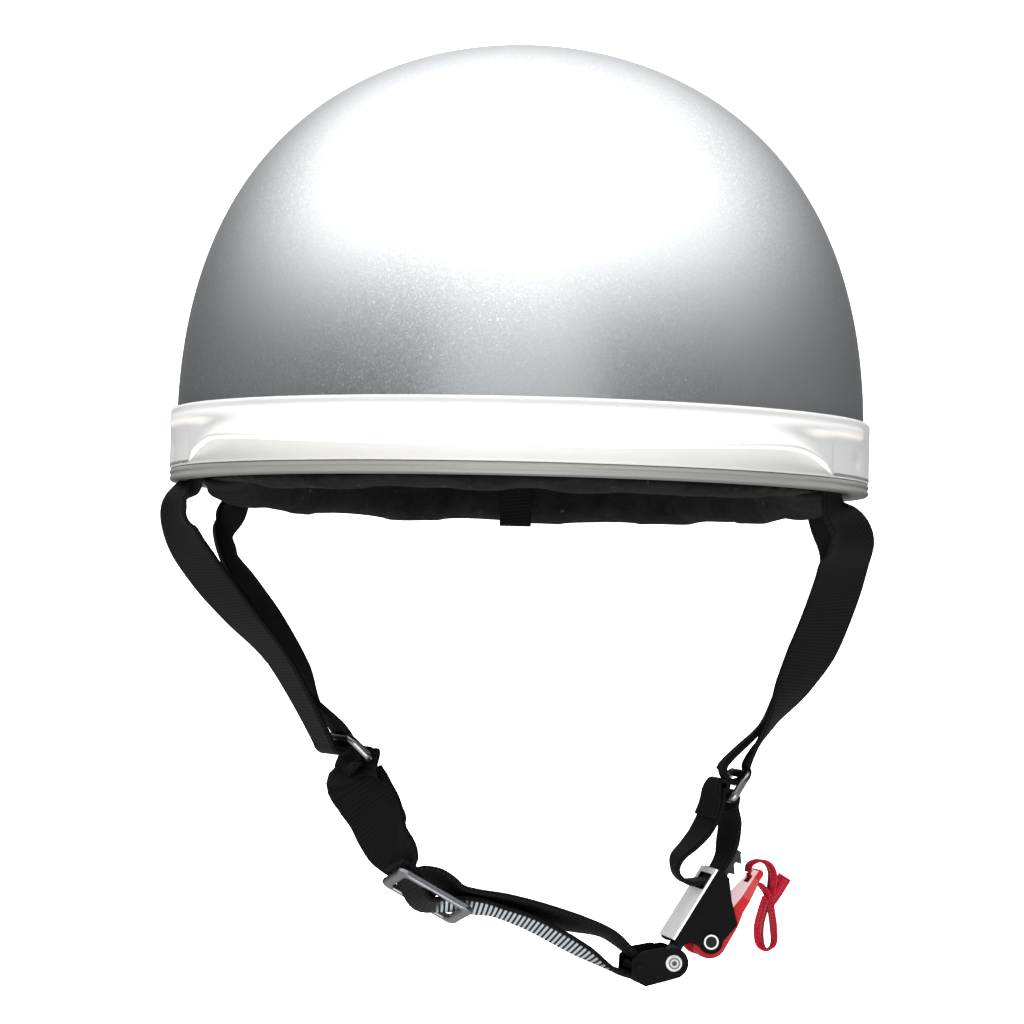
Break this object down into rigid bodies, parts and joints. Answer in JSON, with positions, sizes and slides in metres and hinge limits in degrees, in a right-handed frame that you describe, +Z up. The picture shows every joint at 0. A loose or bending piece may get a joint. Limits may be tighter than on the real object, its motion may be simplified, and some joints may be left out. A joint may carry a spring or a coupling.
{
  "type": "half shell motorcycle helmet",
  "caption": "Open half shell riding helmet with a short front peak, padded headband, Y-shaped ear straps and a chin strap closed by a toothed quick-release buckle.",
  "frame": {"origin": "centre of the head opening, in the plane of the shell rim", "axes": "+Z up through the crown, -Y to the front of the wearer, +X to the right in a view of the front"},
  "size_m": [0.2194, 0.2821, 0.2893],
  "materials": {
    "silver_paint": "satin silver metallic paint over moulded plastic",
    "white_pvc": "soft white moulding, faint grain",
    "foam": "dark expanded foam, pebbled",
    "lining_cloth": "knitted black lining",
    "fleece": "short black fleece",
    "webbing": "flat woven black webbing",
    "steel": "plated steel",
    "dark_wire": "dark plated wire",
    "gunmetal": "gunmetal plating",
    "black_steel": "black coated steel",
    "bright_plate": "bright plated strip",
    "red_plastic": "clear red moulding, glossy",
    "black_plastic": "moulded black nylon",
    "red_ribbon": "woven crimson ribbon"
  },
  "bodies": {
    "helmet": {"outer_shell": "silver_paint", "visor_band": "white_pvc", "edge_trim": "white_pvc", "impact_liner": "foam", "crown_lining": "lining_cloth", "crown_pad": "lining_cloth", "front_headband_pad": "fleece", "rear_headband_pad": "fleece", "nape_tab": "webbing", "strap_anchor_plates": "steel", "strap_anchor_rivets": "steel", "left_ear_strap": "webbing", "right_ear_strap": "webbing", "chin_strap": "webbing", "buckle_strap": "webbing", "buckle_housing": "black_steel", "buckle_back_plate": "bright_plate", "lever_pin": "steel", "lever_spring": "steel"},
    "lever": {"release_lever": "red_plastic"},
    "ribbon": {"pull_ribbon": "red_ribbon"},
    "tongue": {"toothed_tongue": "black_plastic"},
    "bracket": {"strap_end_bracket": "black_steel", "bracket_bar": "black_steel", "tongue_rivet": "steel", "rivet_washers": "steel", "rivet_spacers": "black_steel"},
    "slider": {"length_slider": "gunmetal"},
    "left_wire_ring": {"left_ring": "dark_wire"},
    "right_wire_ring": {"right_ring": "dark_wire"}
  },
  "joints": [
    {"name": "lever_pivot", "type": "hinge", "parent": "helmet", "child": "lever", "pos_m": [0.06029, -0.01089, -0.1371], "axis": [-0.1994, 0.9799, 0], "range_deg": [0, 35], "stiffness_Nm_per_rad": 0.03, "springref_deg": -17.19, "deforming": ["lever_spring"]},
    {"name": "ribbon_swing", "type": "hinge", "parent": "lever", "child": "ribbon", "pos_m": [0.07598, -0.0077, -0.11664], "axis": [0.1994, -0.9799, 0], "range_deg": [-12, 30]},
    {"name": "tongue_slide", "type": "slide", "parent": "helmet", "child": "tongue", "axis": [-0.5076, -0.1033, -0.8554], "range_m": [0, 0.04], "deforming": ["chin_strap"]},
    {"name": "bracket_pivot", "type": "hinge", "parent": "tongue", "child": "bracket", "pos_m": [0.04917, -0.01315, -0.14367], "axis": [0.1994, -0.9799, 0], "range_deg": [-20, 20], "stiffness_Nm_per_rad": 0.05, "deforming": ["chin_strap"]},
    {"name": "slider_slide", "type": "slide", "parent": "helmet", "child": "slider", "axis": [0.8571, 0.1744, -0.4848], "range_m": [-0.006, 0.006], "deforming": ["chin_strap"]},
    {"name": "left_ring_swing", "type": "hinge", "parent": "helmet", "child": "left_wire_ring", "pos_m": [-0.0539, -0.008, -0.0779], "axis": [-0.3746, 0.9272, 0], "range_deg": [-10, 10], "stiffness_Nm_per_rad": 0.02, "deforming": ["chin_strap"]},
    {"name": "right_ring_swing", "type": "hinge", "parent": "helmet", "child": "right_wire_ring", "pos_m": [0.07009, -0.0089, -0.086], "axis": [0.1994, -0.9799, 0], "range_deg": [-8, 8], "stiffness_Nm_per_rad": 0.02, "deforming": ["buckle_strap"]}
  ]
}
